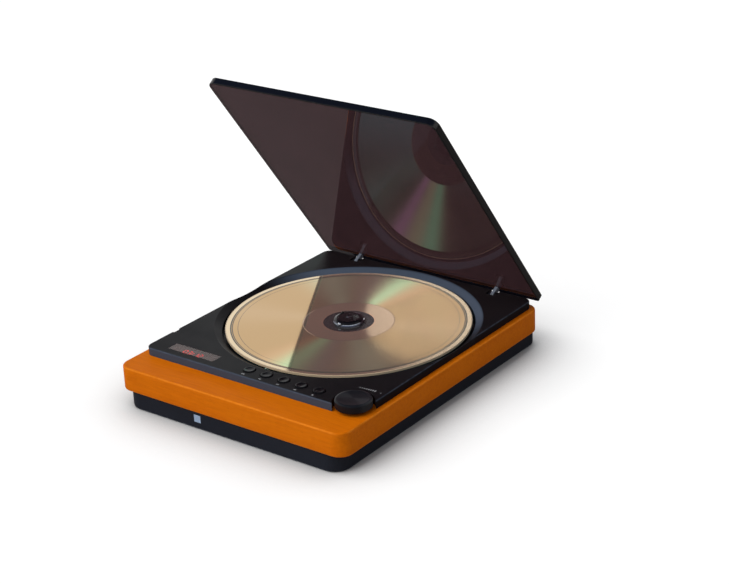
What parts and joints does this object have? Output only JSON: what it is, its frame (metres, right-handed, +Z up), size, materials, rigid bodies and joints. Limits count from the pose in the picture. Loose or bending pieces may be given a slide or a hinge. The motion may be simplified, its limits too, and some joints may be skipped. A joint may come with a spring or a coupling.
{
  "type": "cd player",
  "caption": "slim disc player with an orange wood frame, a black deck with a flared disc well, push buttons, a display window, a volume knob and a smoked lid hinged at the back",
  "frame": {"origin": "centre of the bounding box's base: the table under the rubber feet, with the lid open", "axes": "X runs to the player's right, Y from its controls to its hinges, Z up from the table; lying on its back plate"},
  "size_m": [0.1332, 0.165, 0.141],
  "materials": {
    "orange_lacquer": "satin",
    "black_plastic": "matte",
    "deck_plastic": "satin",
    "gloss_black": "gloss",
    "rubber": "matte",
    "steel": "brushed",
    "chrome": "polished",
    "lug_steel": "satin",
    "smoked_window": "gloss",
    "display_red": "gloss",
    "circuit_board": "satin",
    "chip_plastic": "matte",
    "ir_plastic": "gloss",
    "pale_plastic": "matte",
    "lens_glass": "gloss",
    "disc_surface": "gloss",
    "knob_metal": "spun",
    "smoked_acrylic": "gloss"
  },
  "bodies": {
    "case": {"wood_frame": "orange_lacquer", "plinth": "black_plastic", "feet": "rubber", "case_screws": "steel", "deck": "deck_plastic", "display_window": "smoked_window", "display_module": "display_red", "main_board": "circuit_board", "board_parts": "chip_plastic", "board_screws": "steel", "ir_window": "ir_plastic", "ir_receiver": "chip_plastic", "power_inlet": "steel", "audio_jack": "black_plastic", "power_switch": "black_plastic", "drive_frame": "steel", "dampers": "rubber", "drive_screws": "steel", "guide_rods": "steel", "sled_motor": "steel", "spindle_motor": "steel", "key_board": "circuit_board", "key_switches": "chip_plastic", "volume_pot": "steel", "hinge_brackets": "steel", "hinge_pins": "chrome"},
    "lid": {"lid_plate": "smoked_acrylic", "lid_lugs": "lug_steel"},
    "spindle": {"turntable": "black_plastic", "turntable_pad": "rubber", "hub_ring": "chrome", "hub_cap": "gloss_black", "clamp_balls": "chrome", "disc": "disc_surface"},
    "sled": {"pickup_sled": "black_plastic", "pickup_lens": "lens_glass"},
    "pinion": {"sled_pinion": "pale_plastic"},
    "volume": {"volume_knob": "knob_metal", "volume_shaft": "steel"},
    "slider": {"power_slider": "pale_plastic"},
    "button_1_body": {"button_1": "gloss_black"},
    "button_2_body": {"button_2": "gloss_black"},
    "button_3_body": {"button_3": "gloss_black"},
    "button_4_body": {"button_4": "gloss_black"},
    "button_5_body": {"button_5": "gloss_black"}
  },
  "joints": [
    {"name": "lid_hinge", "type": "hinge", "parent": "case", "child": "lid", "pos_m": [0, 0.07365, 0.0229], "axis": [1, 0, 0], "range_deg": [0, 53.3]},
    {"name": "spindle_spin", "type": "hinge", "parent": "case", "child": "spindle", "pos_m": [0, 0.0103, 0.0235], "axis": [0, 0, 1], "continuous": true},
    {"name": "sled_slide", "type": "slide", "parent": "case", "child": "sled", "axis": [0, -1, 0], "range_m": [-0.001, 0.032]},
    {"name": "pinion_spin", "type": "hinge", "parent": "case", "child": "pinion", "pos_m": [0.026, -0.01391, 0.0151], "axis": [0, 0, 1], "range_deg": [-15, 320]},
    {"name": "volume_turn", "type": "hinge", "parent": "case", "child": "volume", "pos_m": [0.0553, -0.05915, 0.0248], "axis": [0, 0, 1], "range_deg": [-150, 150]},
    {"name": "power_slide", "type": "slide", "parent": "case", "child": "slider", "axis": [1, 0, 0], "range_m": [0, 0.002]},
    {"name": "button_1_press", "type": "slide", "parent": "case", "child": "button_1_body", "axis": [0, 0, -1], "range_m": [0, 0.0005], "stiffness_N_per_m": 400, "springref_m": -0.0002},
    {"name": "button_2_press", "type": "slide", "parent": "case", "child": "button_2_body", "axis": [0, 0, -1], "range_m": [0, 0.0005], "stiffness_N_per_m": 400, "springref_m": -0.0002},
    {"name": "button_3_press", "type": "slide", "parent": "case", "child": "button_3_body", "axis": [0, 0, -1], "range_m": [0, 0.0005], "stiffness_N_per_m": 400, "springref_m": -0.0002},
    {"name": "button_4_press", "type": "slide", "parent": "case", "child": "button_4_body", "axis": [0, 0, -1], "range_m": [0, 0.0005], "stiffness_N_per_m": 400, "springref_m": -0.0002},
    {"name": "button_5_press", "type": "slide", "parent": "case", "child": "button_5_body", "axis": [0, 0, -1], "range_m": [0, 0.0005], "stiffness_N_per_m": 400, "springref_m": -0.0002}
  ],
  "couplings": [
    {"joint": "pinion_spin", "follows": "sled_slide", "rad_per_m": 166.67}
  ]
}
